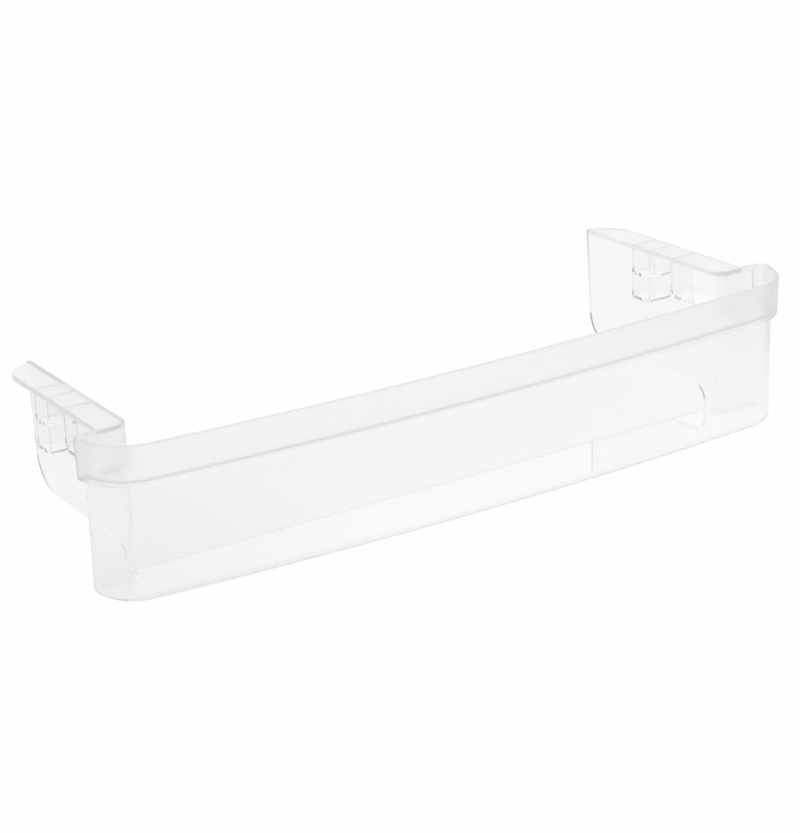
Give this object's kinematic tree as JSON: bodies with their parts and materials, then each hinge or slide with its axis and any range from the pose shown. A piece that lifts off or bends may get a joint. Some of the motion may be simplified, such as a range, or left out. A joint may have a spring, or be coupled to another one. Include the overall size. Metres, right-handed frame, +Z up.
{
  "type": "refrigerator door shelf",
  "caption": "Clear moulded shelf for a refrigerator door: an open tray with a bowed front, a stepped frosted band at its rim, and ears with clip flanges that hang it on the door.",
  "frame": {"origin": "middle of the shelf's width and depth, on the surface that its floor stands on", "axes": "+X along the front, -Y out of the front, +Z up"},
  "size_m": [0.46, 0.1629, 0.0895],
  "materials": {
    "clear_plastic": "clear and polished, with a fine frosted texture on the band along the front rim"
  },
  "bodies": {
    "root": {"door_shelf": "clear_plastic"}
  },
  "joints": []
}
